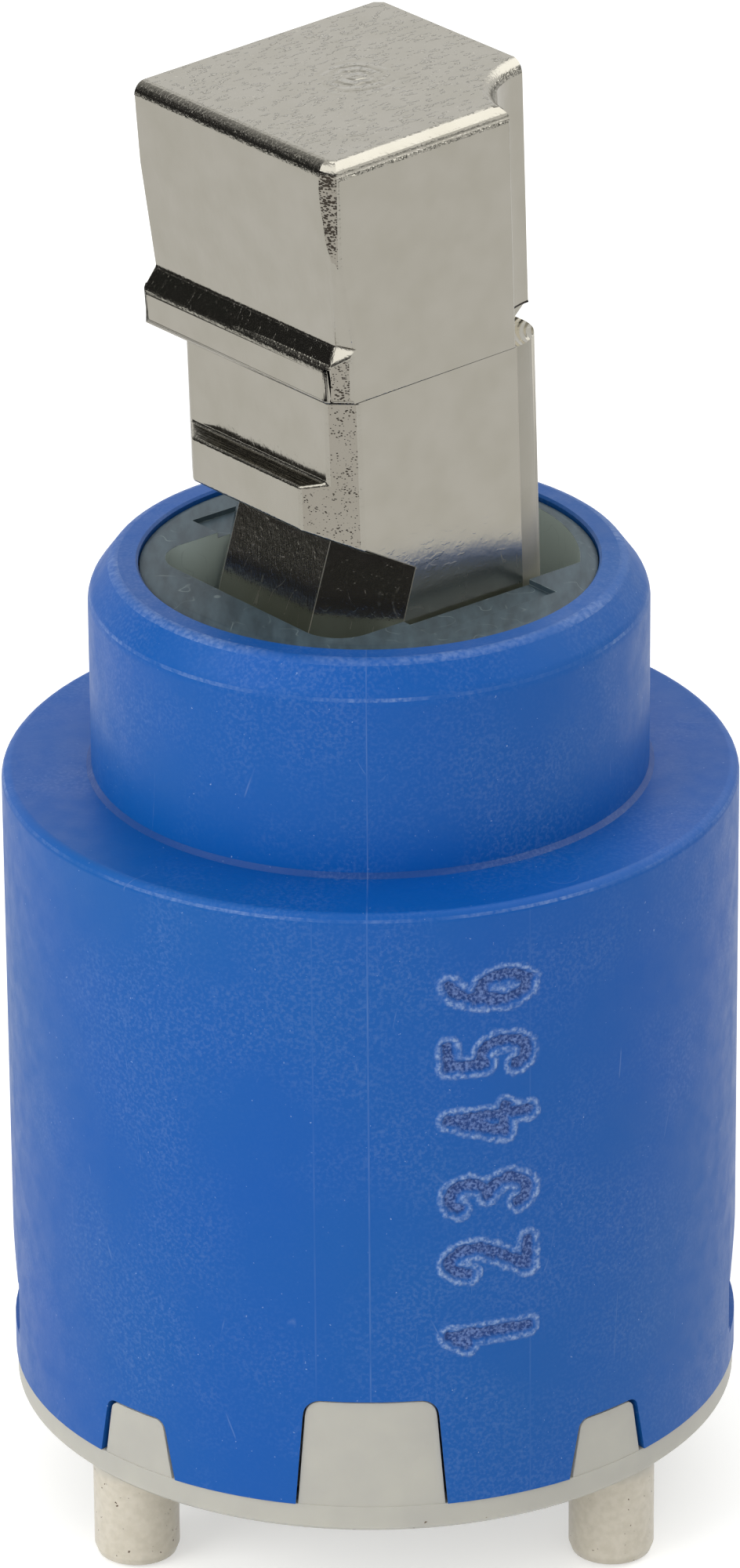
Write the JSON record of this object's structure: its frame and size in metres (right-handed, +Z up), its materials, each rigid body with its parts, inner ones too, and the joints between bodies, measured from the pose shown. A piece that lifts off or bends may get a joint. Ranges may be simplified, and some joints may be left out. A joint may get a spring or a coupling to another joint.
{
  "type": "faucet cartridge",
  "caption": "Ceramic-disc mixing cartridge of a single-lever faucet: a shouldered sleeve on a base with locating pins, and a metal lever block that tilts and swivels.",
  "frame": {"origin": "centre of the seat face under the base flange, on the housing's axis", "axes": "+Z up along the housing's axis to the lever, -Y to the side with the wide locating tab, +X to the right seen from there"},
  "size_m": [0.046, 0.046, 0.0949],
  "materials": {
    "housing_plastic": "moulded, matt",
    "base_plastic": "moulded, satin",
    "nickel": "satin nickel on die-cast zinc",
    "carrier_plastic": "frosted",
    "steel": "ground",
    "rubber": "matt",
    "slip_plastic": "smooth",
    "acetal": "smooth",
    "ceramic": "lapped"
  },
  "bodies": {
    "cartridge_body": {"housing": "housing_plastic", "base": "base_plastic", "slip_ring": "slip_plastic", "fixed_disc": "ceramic", "seal_hot_upper": "rubber", "seal_cold_upper": "rubber", "seal_outlet_upper": "rubber", "seal_hot_lower": "rubber", "seal_cold_lower": "rubber", "seal_outlet_lower": "rubber"},
    "swivel": {"swivel_carrier": "carrier_plastic", "neck_ring": "rubber", "pivot_pin": "steel"},
    "lever": {"lever_spindle": "nickel"},
    "disc_slide": {"disc_driver": "acetal", "lever_shoe": "acetal", "driver_seal": "rubber", "moving_disc": "ceramic", "silencer_mesh": "steel"}
  },
  "joints": [
    {"name": "swivel_turn", "type": "hinge", "parent": "cartridge_body", "child": "swivel", "pos_m": [0, 0, 0.036], "axis": [0, 0, 1], "range_deg": [0, 100]},
    {"name": "lever_tilt", "type": "hinge", "parent": "swivel", "child": "lever", "pos_m": [0, 0, 0.047], "axis": [-0.6428, 0.766, 0], "range_deg": [0, 18]},
    {"name": "disc_shift", "type": "slide", "parent": "swivel", "child": "disc_slide", "axis": [-0.766, -0.6428, 0], "range_m": [0, 0.00675]}
  ],
  "couplings": [
    {"joint": "disc_shift", "follows": "lever_tilt", "m_per_rad": 0.021412}
  ]
}
